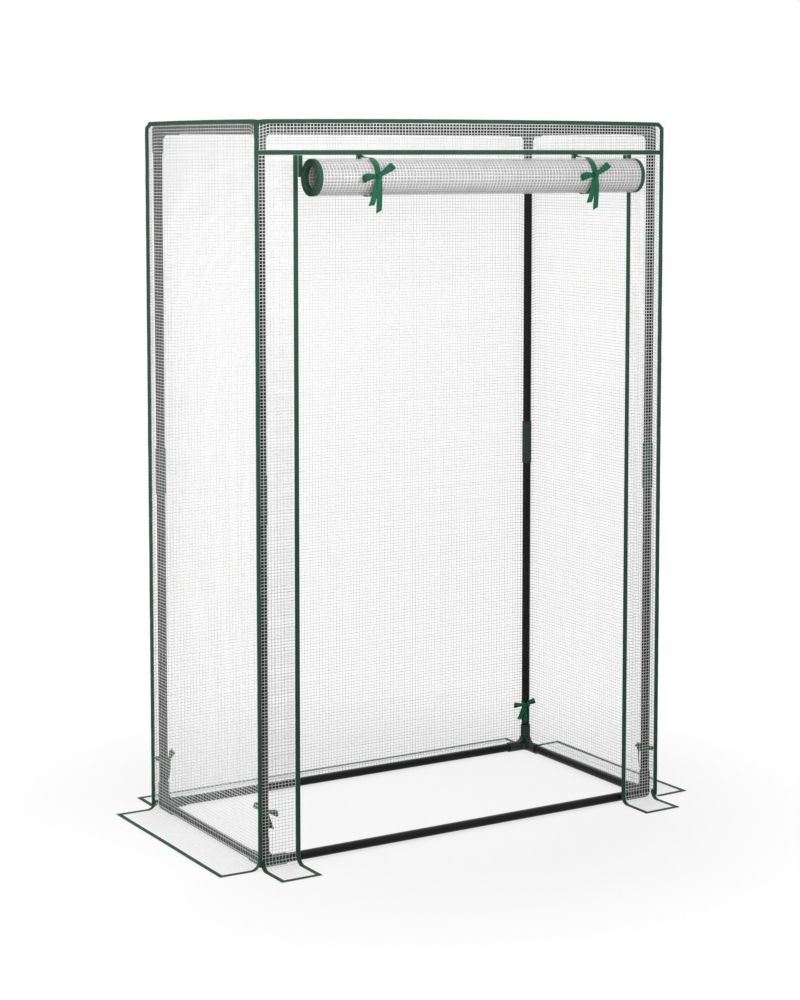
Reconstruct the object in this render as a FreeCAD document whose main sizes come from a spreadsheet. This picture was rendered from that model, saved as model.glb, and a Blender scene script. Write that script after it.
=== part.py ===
import FreeCAD, Part
import math
import os

import Sketcher

# A portable mini greenhouse: a tube frame in plastic corner connectors, under a
# film cover with ground skirts, a rolled-up door and ribbon ties.
# Millimetres. X runs along the front, -Y is the front with the doorway, +Z is up,
# and the origin is on the ground in the middle of the frame.

V = FreeCAD.Vector
DOC = FreeCAD.newDocument("mini_greenhouse")
SHEET = DOC.addObject("Spreadsheet::Sheet", "Sizes")

SIZES = [
    ("frame_width", 962, "between the centres of the left and right uprights"),
    ("frame_depth", 472, "between the centres of the front and back uprights"),
    ("frame_height", 1500, "from the ground to the top of the connectors"),
    ("tube_od", 19, "outer diameter of every tube"),
    ("tube_wall", 0.7, "wall of every tube"),
    ("fit_gap", 0.05, "radial room of a tube in its socket"),
    ("socket_wall", 2, "plastic round a tube in a corner connector"),
    ("arm_length", 50, "from a connector's centre to the end of its arm"),
    ("socket_stop", 16, "from a connector's centre to the end of the tube in it"),
    ("web_radius", 9, "rounded corner between two arms of a connector"),
    ("web_thick", 15, "thickness of that corner"),
    ("coupler_length", 100, "length of an upright coupler"),
    ("coupler_wall", 1.5, "plastic round a tube in a coupler"),
    ("coupler_stop", 3, "rib between the two tube ends in a coupler"),
    ("cover_gap", 4, "from the connectors to the inside of the cover"),
    ("roof_gap", 0.3, "from the connectors to the underside of the roof"),
    ("film", 0.5, "thickness of the cover"),
    ("tape_width", 10, "width of the edge tape as it shows"),
    ("tape_thick", 1.6, "thickness of the folded edge tape"),
    ("seam_od", 8, "diameter of a bound seam"),
    ("seam_bend", 10, "bend of the roof seam at a corner, to its centre"),
    ("fold_radius", 18, "bend from a wall into its skirt"),
    ("fold_gap", 0.4, "between a fold and its skirt"),
    ("skirt_reach", 91, "from a wall to the outer edge of its skirt"),
    ("opening_width", 810, "width of the doorway between the jamb tapes"),
    ("header_depth", 65, "from the top of the connectors to the header's lower edge"),
    ("door_inset", 5.5, "from the edge of the doorway to the edge of the door"),
    ("door_hang", 44, "from the header to the middle of the rolled door"),
    ("door_gap", 0.3, "between the hanging strip and the roll"),
    ("roll_od", 75.2, "outer diameter of the rolled door"),
    ("roll_pitch", 2.25, "from one layer of the roll to the next"),
    ("roll_half_turns", 15, "half turns in the roll"),
    ("tie_offset", 265, "from the middle to each door tie"),
    ("ribbon_width", 11, "width of the ribbons"),
    ("ribbon_thick", 0.8, "thickness of the ribbons"),
    ("ribbon_gap", 0.4, "room under a tied ribbon"),
    ("knot_size", 12, "height and width of a knot"),
    ("loop_depth", 4.2, "half depth of a bow's loop"),
    ("left_loop", 30, "length of a door bow's left loop"),
    ("right_loop", 33, "length of a door bow's right loop"),
    ("left_tail", 62, "length of a door bow's left tail"),
    ("right_tail", 75, "length of a door bow's right tail"),
    ("left_loop_angle", 207, "direction of a door bow's left loop, from +X up"),
    ("right_loop_angle", 33, "direction of a door bow's right loop"),
    ("left_tail_angle", 7, "lean of a door bow's left tail"),
    ("right_tail_angle", -4, "lean of a door bow's right tail"),
    ("upright_tie_height", 112, "height of the ties on the uprights"),
    ("upright_loop", 24, "length of an upright bow's loops"),
    ("upright_loop_droop", 19, "angle by which those loops hang"),
    ("upright_tail", 42, "length of an upright bow's tails"),
    ("upright_tail_angle", 13, "angle by which those tails spread"),
]
for row, (alias, value, note) in enumerate(SIZES, start=1):
    SHEET.set("A%d" % row, note)
    SHEET.set("B%d" % row, str(value))
    SHEET.setAlias("B%d" % row, alias)
DOC.recompute()

# Lengths that follow from the sizes, as expressions on the sheet.
SOCKET_R = "(Sizes.tube_od / 2 + Sizes.socket_wall)"
BORE_R = "(Sizes.tube_od / 2 + Sizes.fit_gap)"
TUBE_BORE_R = "(Sizes.tube_od / 2 - Sizes.tube_wall)"
HALF_W = "(Sizes.frame_width / 2)"
HALF_D = "(Sizes.frame_depth / 2)"
BASE_Z = SOCKET_R
TOP_Z = "(Sizes.frame_height - %s)" % SOCKET_R
MID_Z = "(Sizes.frame_height / 2)"
INNER_X = "(%s + %s + Sizes.cover_gap)" % (HALF_W, SOCKET_R)
INNER_Y = "(%s + %s + Sizes.cover_gap)" % (HALF_D, SOCKET_R)
SEAM_R = "(Sizes.seam_od / 2)"
SEAM_X = "(%s + Sizes.film / 2)" % INNER_X
SEAM_Y = "(%s + Sizes.film / 2)" % INNER_Y
ROOF_Z = "(Sizes.frame_height + Sizes.roof_gap)"
SEAM_Z = "(%s + Sizes.film / 2)" % ROOF_Z
EDGE_X = "(%s - %s)" % (SEAM_X, SEAM_R)
EDGE_Y = "(%s - %s)" % (SEAM_Y, SEAM_R)
WALL_TOP = "(%s - %s)" % (SEAM_Z, SEAM_R)
FOLD_TOP = "(Sizes.fold_radius + Sizes.film)"
JAMB = "(Sizes.opening_width / 2)"
DOOR = "(%s - Sizes.door_inset)" % JAMB
HEADER_Z = "(Sizes.frame_height - Sizes.header_depth)"
ROLL_Z = "(%s - Sizes.door_hang)" % HEADER_Z

# Share of a loop's length at which it is fullest.
LOOP_BELLY = 0.6

# Each wall is drawn facing +X and turned about Z to the side it belongs on.
RIGHT, BACK, LEFT, FRONT = 0, 90, 180, 270

# Each corner of the frame: its sides along X and Y, and the turn about Z that takes
# the front left corner's pieces there.
CORNERS = [
    ("front_left", -1, -1, 0),
    ("front_right", 1, -1, 90),
    ("back_right", 1, 1, 180),
    ("back_left", -1, 1, 270),
]

NODES = []


def num(expression):
    """The present value of an expression on the sheet."""
    return float(SHEET.evalExpression(expression))


def bind(thing, **expressions):
    for name, expression in expressions.items():
        thing.setExpression(name, expression)
    return thing


def place(thing, x="0", y="0", z="0", axis=V(0, 0, 1), angle=0):
    thing.Placement = FreeCAD.Placement(V(), FreeCAD.Rotation(axis, angle))
    for name, expression in (("x", x), ("y", y), ("z", z)):
        thing.setExpression("Placement.Base." + name, expression)
    return thing


def node(thing, label):
    """Keeps an object as a named piece."""
    thing.Label = label
    NODES.append(thing)
    return thing


def group(label, members, angle=0):
    """One piece made of the given objects, turned about Z."""
    whole = DOC.addObject("Part::Compound", label)
    whole.Links = members
    place(whole, angle=angle)
    return node(whole, label)


def block(name, x, y, z):
    """A box between two expressions along each axis."""
    box = DOC.addObject("Part::Box", name)
    spans = ["(%s) - (%s)" % (high, low) for low, high in (x, y, z)]
    bind(box, Length=spans[0], Width=spans[1], Height=spans[2])
    return place(box, x[0], y[0], z[0])


def rod(name, radius, height, x="0", y="0", z="0", axis=V(0, 0, 1), angle=0):
    cylinder = DOC.addObject("Part::Cylinder", name)
    bind(cylinder, Radius=radius, Height=height)
    return place(cylinder, x, y, z, axis, angle)


def cut(name, base, tool):
    result = DOC.addObject("Part::Cut", name)
    result.Base = base
    result.Tool = tool
    return result


def fuse(name, shapes):
    result = DOC.addObject("Part::MultiFuse", name)
    result.Shapes = shapes
    return result


def origin_plane(body, role):
    return [f for f in body.Origin.OriginFeatures if f.Role == role][0]


def sketch_on(body, role, name):
    sketch = body.newObject("Sketcher::SketchObject", name)
    sketch.AttachmentSupport = [(origin_plane(body, role), "")]
    sketch.MapMode = "FlatFace"
    return sketch


def circle(sketch, name, diameter):
    """A circle round the sketch's origin, with its diameter on the sheet."""
    size = num(diameter)
    index = sketch.addGeometry(Part.Circle(V(), V(0, 0, 1), size / 2))
    sketch.addConstraint(Sketcher.Constraint("Coincident", index, 3, -1, 1))
    limit = sketch.addConstraint(Sketcher.Constraint("Diameter", index, size))
    sketch.renameConstraint(limit, name)
    sketch.setExpression("Constraints." + name, diameter)


def tube(label, length, x, y, z, axis=V(0, 0, 1), angle=0):
    """A round tube from the given point, along +Z turned by the angle."""
    body = DOC.addObject("PartDesign::Body", label)
    section = sketch_on(body, "XY_Plane", label + "_section")
    circle(section, "outer_diameter", "Sizes.tube_od")
    circle(section, "inner_diameter", "Sizes.tube_od - 2 * Sizes.tube_wall")
    pad = body.newObject("PartDesign::Pad", label + "_length")
    pad.Profile = section
    bind(pad, Length=length)
    section.Visibility = False
    place(body, x, y, z, axis, angle)
    return node(body, label)


def build_frame():
    lower_length = "%s - %s - Sizes.socket_stop - Sizes.coupler_stop / 2" % (
        MID_Z,
        BASE_Z,
    )
    for name, sx, sy, turn in CORNERS:
        x = "%d * %s" % (sx, HALF_W)
        y = "%d * %s" % (sy, HALF_D)
        foot = "%s + Sizes.socket_stop" % BASE_Z
        tube(name + "_lower_upright", lower_length, x, y, foot)
        above = "%s + Sizes.coupler_stop / 2" % MID_Z
        tube(name + "_upper_upright", lower_length, x, y, above)
        coupler(name + "_coupler", x, y)
    for level, z in (("base", BASE_Z), ("top", TOP_Z)):
        length = "Sizes.frame_width - 2 * Sizes.socket_stop"
        start = "-%s + Sizes.socket_stop" % HALF_W
        for side, sign in (("front", -1), ("back", 1)):
            y = "%d * %s" % (sign, HALF_D)
            tube("%s_%s_rail" % (side, level), length, start, y, z, V(0, 1, 0), 90)
        length = "Sizes.frame_depth - 2 * Sizes.socket_stop"
        start = "-%s + Sizes.socket_stop" % HALF_D
        for side, sign in (("left", -1), ("right", 1)):
            x = "%d * %s" % (sign, HALF_W)
            tube("%s_%s_rail" % (side, level), length, x, start, z, V(1, 0, 0), -90)
    connector = three_way_connector()
    for name, sx, sy, turn in CORNERS:
        x = "%d * %s" % (sx, HALF_W)
        y = "%d * %s" % (sy, HALF_D)
        low = DOC.addObject("Part::Compound", name + "_base_connector")
        low.Links = [connector]
        place(low, x, y, BASE_Z, V(0, 0, 1), turn)
        node(low, name + "_base_connector")
        high = DOC.addObject("Part::Compound", name + "_top_connector")
        high.Links = [connector]
        place(high, x, y, TOP_Z)
        over = FreeCAD.Rotation(V(1, 0, 0), -90)
        high.Placement.Rotation = FreeCAD.Rotation(V(0, 0, 1), turn) * over
        node(high, name + "_top_connector")


def coupler(label, x, y):
    """A sleeve over two tube ends, with a rib between them."""
    half = "Sizes.coupler_length / 2"
    deep = "%s - Sizes.coupler_stop / 2" % half
    sleeve = rod(
        label + "_sleeve",
        "Sizes.tube_od / 2 + Sizes.coupler_wall",
        "Sizes.coupler_length",
        z="-" + half,
    )
    bores = [
        rod(label + "_lower_bore", BORE_R, deep, z="-" + half),
        rod(label + "_upper_bore", BORE_R, deep, z="Sizes.coupler_stop / 2"),
        rod(label + "_through", TUBE_BORE_R, "Sizes.coupler_length", z="-" + half),
    ]
    piece = cut(label, sleeve, fuse(label + "_bores", bores))
    place(piece, x, y, MID_Z)
    return node(piece, label)


def three_way_connector():
    """Three sockets that meet at the origin and point along +X, +Y and +Z."""
    turns = [
        ("upright", V(0, 0, 1), 0),
        ("wide", V(0, 1, 0), 90),
        ("deep", V(1, 0, 0), -90),
    ]
    arms = []
    bores = []
    for name, axis, angle in turns:
        arm = rod(name + "_arm", SOCKET_R, "Sizes.arm_length", axis=axis, angle=angle)
        arms.append(arm)
        bore = DOC.addObject("Part::Cylinder", name + "_bore")
        bind(bore, Radius=BORE_R, Height="Sizes.arm_length - Sizes.socket_stop")
        along = FreeCAD.Rotation(axis, angle).multVec(V(0, 0, 1))
        start = [
            "%d * Sizes.socket_stop" % round(c) for c in (along.x, along.y, along.z)
        ]
        place(bore, start[0], start[1], start[2], axis, angle)
        bores.append(bore)
    core = DOC.addObject("Part::Sphere", "connector_core")
    bind(core, Radius=SOCKET_R)
    webs = [
        web("floor_web", V(0, 0, 1), 0),
        web("wide_web", V(1, 0, 0), 90),
        web("deep_web", V(0, 1, 0), -90),
    ]
    solid = fuse("connector_solid", arms + [core] + webs)
    return cut("connector", solid, fuse("connector_bores", bores))


def web(name, axis, angle):
    """The rounded corner between two arms, in the XY plane before it is turned."""
    reach = "(%s + Sizes.web_radius)" % SOCKET_R
    half = "(Sizes.web_thick / 2)"
    plate = block(
        name + "_plate", ("0", reach), ("0", reach), ("-" + half, half)
    )
    hollow = rod(
        name + "_hollow", "Sizes.web_radius", "Sizes.web_thick", reach, reach, "-" + half
    )
    return place(cut(name, plate, hollow), axis=axis, angle=angle)


def fold(name, inner, along, thick):
    """The bend at a wall's foot: a quarter of a ring from the wall to the ground."""
    length = "(%s) - (%s)" % (along[1], along[0])
    centre = "%s + %s" % (inner, FOLD_TOP)
    outer = rod(name + "_outer", FOLD_TOP, length)
    hollow = rod(name + "_hollow", "%s - %s" % (FOLD_TOP, thick), length)
    down_and_in = FreeCAD.Rotation(V(0, 0, -1), V(-1, 0, 0), V(0, 1, 0), "ZXY")
    for quarter in (outer, hollow):
        quarter.Angle = 90
        place(quarter, centre, along[0], FOLD_TOP)
        quarter.Placement.Rotation = down_and_in
    return cut(name, outer, hollow)


def wall(label, angle, inner, edges, foot, top):
    """A flat wall and the fold at its foot."""
    plate = block(
        label + "_plate",
        (inner, "%s + Sizes.film" % inner),
        edges,
        (FOLD_TOP, top),
    )
    bend = fold(label + "_fold", inner, foot, "Sizes.film")
    return group(label, [plate, bend], angle)


def skirt(label, angle, inner, ends):
    """A flap on the ground and the tape round its three free edges."""
    start = "%s + %s + Sizes.fold_gap" % (inner, FOLD_TOP)
    end = "%s + Sizes.film + Sizes.skirt_reach" % inner
    inside = (
        "%s + Sizes.tape_width" % ends[0],
        "%s - Sizes.tape_width" % ends[1],
    )
    flap = block(
        label + "_flap",
        (start, "%s - Sizes.tape_width" % end),
        inside,
        ("0", "Sizes.film"),
    )
    group(label, [flap], angle)
    rim = block(label + "_rim", (start, end), ends, ("0", "Sizes.tape_thick"))
    window = block(
        label + "_window",
        (inner, "%s - Sizes.tape_width" % end),
        inside,
        ("-Sizes.tape_thick", "2 * Sizes.tape_thick"),
    )
    group(label + "_tape", [cut(label + "_frame", rim, window)], angle)


def minus(expression):
    return "-" + expression


def build_walls():
    side_edges = (minus(EDGE_Y), EDGE_Y)
    side_foot = (
        "-(%s - Sizes.tape_width)" % INNER_Y,
        "%s - Sizes.tape_width" % INNER_Y,
    )
    back_edges = (minus(EDGE_X), EDGE_X)
    back_foot = (
        "-(%s - Sizes.tape_width)" % INNER_X,
        "%s - Sizes.tape_width" % INNER_X,
    )
    wall("left_wall", LEFT, INNER_X, side_edges, side_foot, WALL_TOP)
    wall("right_wall", RIGHT, INNER_X, side_edges, side_foot, WALL_TOP)
    wall("back_wall", BACK, INNER_Y, back_edges, back_foot, WALL_TOP)
    past_tape = "(%s + Sizes.tape_width)" % JAMB
    wall(
        "left_jamb",
        FRONT,
        INNER_Y,
        (minus(EDGE_X), minus(past_tape)),
        (back_foot[0], minus(past_tape)),
        HEADER_Z,
    )
    wall(
        "right_jamb",
        FRONT,
        INNER_Y,
        (past_tape, EDGE_X),
        (past_tape, back_foot[1]),
        HEADER_Z,
    )
    over_tape = "%s + Sizes.tape_width" % HEADER_Z
    skin = (INNER_Y, "%s + Sizes.film" % INNER_Y)
    band = (INNER_Y, "%s + Sizes.tape_thick" % INNER_Y)
    header = block("header_plate", skin, back_edges, (over_tape, WALL_TOP))
    group("header", [header], FRONT)
    tape = block("header_strip", band, back_edges, (HEADER_Z, over_tape))
    group("header_tape", [tape], FRONT)
    for label, ends in (
        ("left_jamb_tape", (minus(past_tape), minus(JAMB))),
        ("right_jamb_tape", (JAMB, past_tape)),
    ):
        strip = block(label + "_strip", band, ends, (FOLD_TOP, HEADER_Z))
        bend = fold(label + "_foot", INNER_Y, ends, "Sizes.tape_thick")
        group(label, [strip, bend], FRONT)


def build_skirts():
    side = (minus(INNER_Y), INNER_Y)
    skirt("left_skirt", LEFT, INNER_X, side)
    skirt("right_skirt", RIGHT, INNER_X, side)
    skirt("back_skirt", BACK, INNER_Y, (minus(INNER_X), INNER_X))
    skirt("front_left_skirt", FRONT, INNER_Y, (minus(INNER_X), minus(JAMB)))
    skirt("front_right_skirt", FRONT, INNER_Y, (JAMB, INNER_X))


def build_seams():
    """The bound seam down each corner, with the tapes at its foot, and the roof's."""
    for name, sx, sy, turn in CORNERS:
        label = name + "_seam"
        bead = rod(
            label + "_bead",
            SEAM_R,
            "%s - %s" % (WALL_TOP, FOLD_TOP),
            "%d * %s" % (sx, SEAM_X),
            "%d * %s" % (sy, SEAM_Y),
            FOLD_TOP,
        )
        side = RIGHT if sx > 0 else LEFT
        face = BACK if sy > 0 else FRONT
        far_end = sx * sy > 0
        feet = [
            foot_tape(label + "_side", INNER_X, INNER_Y, far_end, side),
            foot_tape(label + "_face", INNER_Y, INNER_X, not far_end, face),
        ]
        group(label, [bead] + feet)
    bars = []
    straight_x = "(%s - Sizes.seam_bend)" % SEAM_X
    straight_y = "(%s - Sizes.seam_bend)" % SEAM_Y
    for sign in (-1, 1):
        bars.append(
            rod(
                "roof_seam_wide",
                SEAM_R,
                "2 * " + straight_x,
                minus(straight_x),
                "%d * %s" % (sign, SEAM_Y),
                SEAM_Z,
                V(0, 1, 0),
                90,
            )
        )
        bars.append(
            rod(
                "roof_seam_deep",
                SEAM_R,
                "2 * " + straight_y,
                "%d * %s" % (sign, SEAM_X),
                minus(straight_y),
                SEAM_Z,
                V(1, 0, 0),
                -90,
            )
        )
    for name, sx, sy, turn in CORNERS:
        bend = DOC.addObject("Part::Torus", "roof_seam_bend")
        bind(bend, Radius1="Sizes.seam_bend", Radius2=SEAM_R)
        bend.Angle3 = 90
        place(
            bend,
            "%d * %s" % (sx, straight_x),
            "%d * %s" % (sy, straight_y),
            SEAM_Z,
            V(0, 0, 1),
            turn + 180,
        )
        bars.append(bend)
    node(fuse("roof_seam", bars), "roof_seam")


def foot_tape(name, inner, end, far_end, angle):
    """The short tape over one end of a wall's fold."""
    near = "(%s - Sizes.tape_width)" % end
    along = (near, end) if far_end else (minus(end), minus(near))
    whole = DOC.addObject("Part::Compound", name)
    whole.Links = [fold(name + "_bend", inner, along, "Sizes.tape_thick")]
    return place(whole, angle=angle)


def build_roof():
    body = DOC.addObject("PartDesign::Body", "roof")
    sketch = sketch_on(body, "XY_Plane", "roof_outline")
    x = num(EDGE_X)
    y = num(EDGE_Y)
    points = [V(-x, -y), V(x, -y), V(x, y), V(-x, y)]
    for i in range(4):
        sketch.addGeometry(Part.LineSegment(points[i], points[(i + 1) % 4]))
    for i in range(4):
        joined = Sketcher.Constraint("Coincident", i, 2, (i + 1) % 4, 1)
        sketch.addConstraint(joined)
        level = "Horizontal" if i % 2 == 0 else "Vertical"
        sketch.addConstraint(Sketcher.Constraint(level, i))
    sketch.addConstraint(Sketcher.Constraint("Symmetric", 0, 1, 1, 2, -1, 1))
    wide = sketch.addConstraint(Sketcher.Constraint("DistanceX", 0, 1, 0, 2, 2 * x))
    deep = sketch.addConstraint(Sketcher.Constraint("DistanceY", 1, 1, 1, 2, 2 * y))
    sketch.renameConstraint(wide, "roof_width")
    sketch.renameConstraint(deep, "roof_depth")
    sketch.setExpression("Constraints.roof_width", "2 * " + EDGE_X)
    sketch.setExpression("Constraints.roof_depth", "2 * " + EDGE_Y)
    pad = body.newObject("PartDesign::Pad", "roof_film")
    pad.Profile = sketch
    bind(pad, Length="Sizes.film")
    DOC.recompute()
    upright = []
    for i, edge in enumerate(pad.Shape.Edges, start=1):
        if abs(edge.tangentAt(edge.FirstParameter).z) > 0.9:
            upright.append("Edge%d" % i)
    rounding = body.newObject("PartDesign::Fillet", "roof_corners")
    rounding.Base = (pad, upright)
    bind(rounding, Radius="Sizes.seam_bend - %s" % SEAM_R)
    sketch.Visibility = False
    place(body, z=ROOF_Z)
    node(body, "roof")


def roll_arcs(offset):
    """Half circles of the rolled door, this far in from its outer face.

    Each is (centre along Y, radius, +1 over the top or -1 under), from the roll's
    back, where the hanging strip comes down, in to the free edge.
    """
    arcs = []
    pitch = num("Sizes.roll_pitch")
    at = num("Sizes.roll_od") / 2
    for i in range(int(round(num("Sizes.roll_half_turns")))):
        radius = num("Sizes.roll_od") / 2 - i * pitch / 2
        side = -1 if i % 2 == 0 else 1
        centre = at + side * radius
        arcs.append((centre, radius - offset, side))
        at = centre + side * radius
    return arcs


def roll_edges(offset, x):
    """The same half circles as edges about the roll's axis, square to X."""
    edges = []
    for centre, radius, side in roll_arcs(offset):
        start = V(x, centre - side * radius, 0)
        middle = V(x, centre, side * radius)
        end = V(x, centre + side * radius, 0)
        edges.append(Part.Arc(start, middle, end).toShape())
    return edges


def rolled_sheet(thick, start, length):
    """A sheet of that thickness rolled up along X."""
    outer = roll_edges(0, start)
    inner = roll_edges(thick, start)
    first = Part.makeLine(inner[0].Vertexes[0].Point, outer[0].Vertexes[0].Point)
    last = Part.makeLine(outer[-1].Vertexes[1].Point, inner[-1].Vertexes[1].Point)
    profile = Part.Wire(Part.__sortEdges__(outer + [last] + inner + [first]))
    return Part.Face(profile).extrude(V(length, 0, 0))


def least_gap(thick):
    """The least gap between one layer of the roll and the next, on points."""
    least = float("inf")
    steps = 48
    faces = [[], []]
    for face, offset in zip(faces, (0, thick)):
        for centre, radius, side in roll_arcs(offset):
            for k in range(steps + 1):
                turn = math.pi * k / steps
                y = centre - side * radius * math.cos(turn)
                z = side * radius * math.sin(turn)
                face.append((y, z))
    outer, inner = faces
    apart = 2 * (steps + 1)
    for i, (y, z) in enumerate(inner):
        for v, w in outer[i + apart // 2 : i + 2 * apart]:
            least = min(least, math.hypot(y - v, z - w))
    return least


def made(label, shape, x=0, y=0, z=0):
    """A piece whose shape is drawn in code, from sizes on the sheet."""
    piece = DOC.addObject("Part::Feature", label)
    piece.Shape = shape
    piece.Placement = FreeCAD.Placement(V(x, y, z), FreeCAD.Rotation())
    return node(piece, label)


def build_door():
    tape = num("Sizes.tape_width")
    thick = num("Sizes.tape_thick")
    film = num("Sizes.film")
    half = num(DOOR)
    axis_y = -(num(INNER_Y) + num("Sizes.roll_od") / 2)
    axis_z = num(ROLL_Z)
    sheet = rolled_sheet(film, -half + tape, 2 * (half - tape))
    made("door_roll", sheet, 0, axis_y, axis_z)
    edges = [rolled_sheet(thick, x, tape) for x in (-half, half - tape)]
    made("door_roll_tapes", Part.makeCompound(edges), 0, axis_y, axis_z)
    for name, thickness in (("film", film), ("tape", thick)):
        print("least gap in the roll, %s: %.2f mm" % (name, least_gap(thickness)))
    hang = ("%s + Sizes.door_gap" % ROLL_Z, HEADER_Z)
    inside = "(%s - Sizes.tape_width)" % DOOR
    skin = (INNER_Y, "%s + Sizes.film" % INNER_Y)
    band = (INNER_Y, "%s + Sizes.tape_thick" % INNER_Y)
    strip = block("door_strip_film", skin, (minus(inside), inside), hang)
    group("door_strip", [strip], FRONT)
    sides = [
        block("door_strip_left", band, (minus(DOOR), minus(inside)), hang),
        block("door_strip_right", band, (inside, DOOR), hang),
    ]
    group("door_strip_tapes", sides, FRONT)


def ribbon_loop(length, tilt):
    """One loop of a bow: a flattened ring of ribbon from the knot outwards."""
    width = num("Sizes.ribbon_width")
    thick = num("Sizes.ribbon_thick")
    depth = num("Sizes.loop_depth")
    belly = LOOP_BELLY * length
    faces = []
    for inset in (0, thick):
        near = V(3 * inset, 0, 0)
        tip = V(length - 2 * inset, 0, 0)
        front = Part.Arc(near, V(belly, -depth + inset, 0), tip).toShape()
        back = Part.Arc(tip, V(belly, depth - inset, 0), near).toShape()
        faces.append(Part.Face(Part.Wire([front, back])))
    loop = faces[0].cut(faces[1]).extrude(V(0, 0, width))
    loop.translate(V(0, 0, -width / 2))
    loop.rotate(V(), V(0, -1, 0), tilt)
    return loop


def ribbon_tail(length, tilt, start):
    """A hanging end of ribbon, cut on the slant."""
    width = num("Sizes.ribbon_width")
    thick = num("Sizes.ribbon_thick")
    points = [
        V(-width / 2, 0, 0),
        V(width / 2, 0, 0),
        V(width / 2, 0, -length),
        V(-width / 2, 0, -length + width / 2),
    ]
    face = Part.Face(Part.makePolygon(points + points[:1]))
    tail = face.extrude(V(0, thick, 0))
    tail.rotate(V(), V(0, 1, 0), tilt)
    tail.translate(start)
    return tail


def bow(loops, tails):
    """A knot on the origin's -Y side with two loops and two tails."""
    size = num("Sizes.knot_size")
    middle = V(0, -num("Sizes.loop_depth + Sizes.ribbon_gap"), 0)
    depth = -2 * middle.y
    knot = Part.makeBox(size, depth, size, V(-size / 2, -depth, -size / 2))
    pieces = []
    for length, tilt in loops:
        loop = ribbon_loop(length, tilt)
        loop.translate(middle)
        pieces.append(loop)
    layer = num("Sizes.ribbon_thick")
    for i, (length, tilt) in enumerate(tails):
        start = V(0, middle.y + (2 * i - 1) * layer, 0)
        pieces.append(ribbon_tail(length, tilt, start))
    return knot.multiFuse(pieces)


def door_tie():
    """Two ribbons from the header, round the roll, tied in a bow at its front."""
    width = num("Sizes.ribbon_width")
    thick = num("Sizes.ribbon_thick")
    gap = num("Sizes.ribbon_gap")
    hang = num("Sizes.door_hang")
    tape = num("Sizes.tape_width")
    roll = num("Sizes.roll_od") / 2
    inside = roll + gap
    outside = inside + thick
    start = V(-width / 2, 0, 0)
    along = V(1, 0, 0)
    around = Part.makeCylinder(outside, width, start, along)
    around = around.cut(Part.makeCylinder(inside, width, start, along))
    corner = Part.makeBox(width, 2 * outside, 2 * outside, start)
    around = around.cut(corner)
    back = Part.makeBox(width, thick, hang + tape, V(-width / 2, inside, 0))
    face = roll - num("Sizes.tape_thick") - gap
    over = Part.makeBox(width, face, thick, V(-width / 2, 0, inside))
    front = Part.makeBox(
        width, thick, hang + tape - inside, V(-width / 2, face - thick, inside)
    )
    sides = ("left", "right")
    loops = [(num("Sizes.%s_loop" % s), num("Sizes.%s_loop_angle" % s)) for s in sides]
    tails = [(num("Sizes.%s_tail" % s), num("Sizes.%s_tail_angle" % s)) for s in sides]
    ends = bow(loops, tails)
    ends.translate(V(0, -inside, 0))
    return around.multiFuse([back, over, front, ends]).removeSplitter()


def upright_tie():
    """A ribbon round a tube, from the seam on its +Y side to a bow on its -Y side."""
    width = num("Sizes.ribbon_width")
    thick = num("Sizes.ribbon_thick")
    gap = num("Sizes.ribbon_gap")
    inside = num("Sizes.tube_od") / 2 + gap
    ring = Part.makeCylinder(inside + thick, width)
    ring = ring.cut(Part.makeCylinder(inside, width))
    ring.translate(V(0, 0, -width / 2))
    to_seam = math.hypot(num(SEAM_X) - num(HALF_W), num(SEAM_Y) - num(HALF_D))
    reach = to_seam - num(SEAM_R) - gap
    start = inside + thick / 2
    strap = Part.makeBox(2 * thick, reach - start, width, V(-thick, start, -width / 2))
    loop = num("Sizes.upright_loop")
    droop = num("Sizes.upright_loop_droop")
    tail = num("Sizes.upright_tail")
    spread = num("Sizes.upright_tail_angle")
    ends = bow([(loop, 180 + droop), (loop, -droop)], [(tail, spread), (tail, -spread)])
    ends.translate(V(0, -inside, 0))
    return ring.multiFuse([strap, ends]).removeSplitter()


def build_ties():
    axis_y = -(num(INNER_Y) + num("Sizes.roll_od") / 2)
    for name, sign in (("left", -1), ("right", 1)):
        x = sign * num("Sizes.tie_offset")
        made(name + "_door_tie", door_tie(), x, axis_y, num(ROLL_Z))
    ties = []
    for name, sx, sy, turn in CORNERS:
        tie = upright_tie()
        tie.rotate(V(), V(0, 0, 1), turn + 135)
        x = sx * num(HALF_W)
        y = sy * num(HALF_D)
        tie.translate(V(x, y, num("Sizes.upright_tie_height")))
        ties.append(tie)
    made("upright_ties", Part.makeCompound(ties))


def write_parts():
    DOC.recompute()
    faults = []
    for thing in DOC.Objects:
        if "Invalid" in thing.State or "Error" in thing.State:
            faults.append("%s: %s" % (thing.Name, thing.State))
    for piece in NODES:
        if piece.Shape.isNull() or not piece.Shape.isValid():
            faults.append("%s: shape" % piece.Label)
    if faults:
        raise RuntimeError("; ".join(faults))
    os.makedirs("parts", exist_ok=True)
    for piece in NODES:
        piece.Shape.exportStep("parts/%s.step" % piece.Label)
    print("%d pieces" % len(NODES))


build_frame()
build_walls()
build_skirts()
build_seams()
build_roof()
build_door()
build_ties()
write_parts()
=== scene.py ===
"""Looks for a portable mini greenhouse: a tube frame under a cover of netted film.

Metres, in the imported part's frame: X along the front, -Y the front, +Z up.
"""

import math

import bpy
import numpy as np
from mathutils import Matrix, Vector


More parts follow.
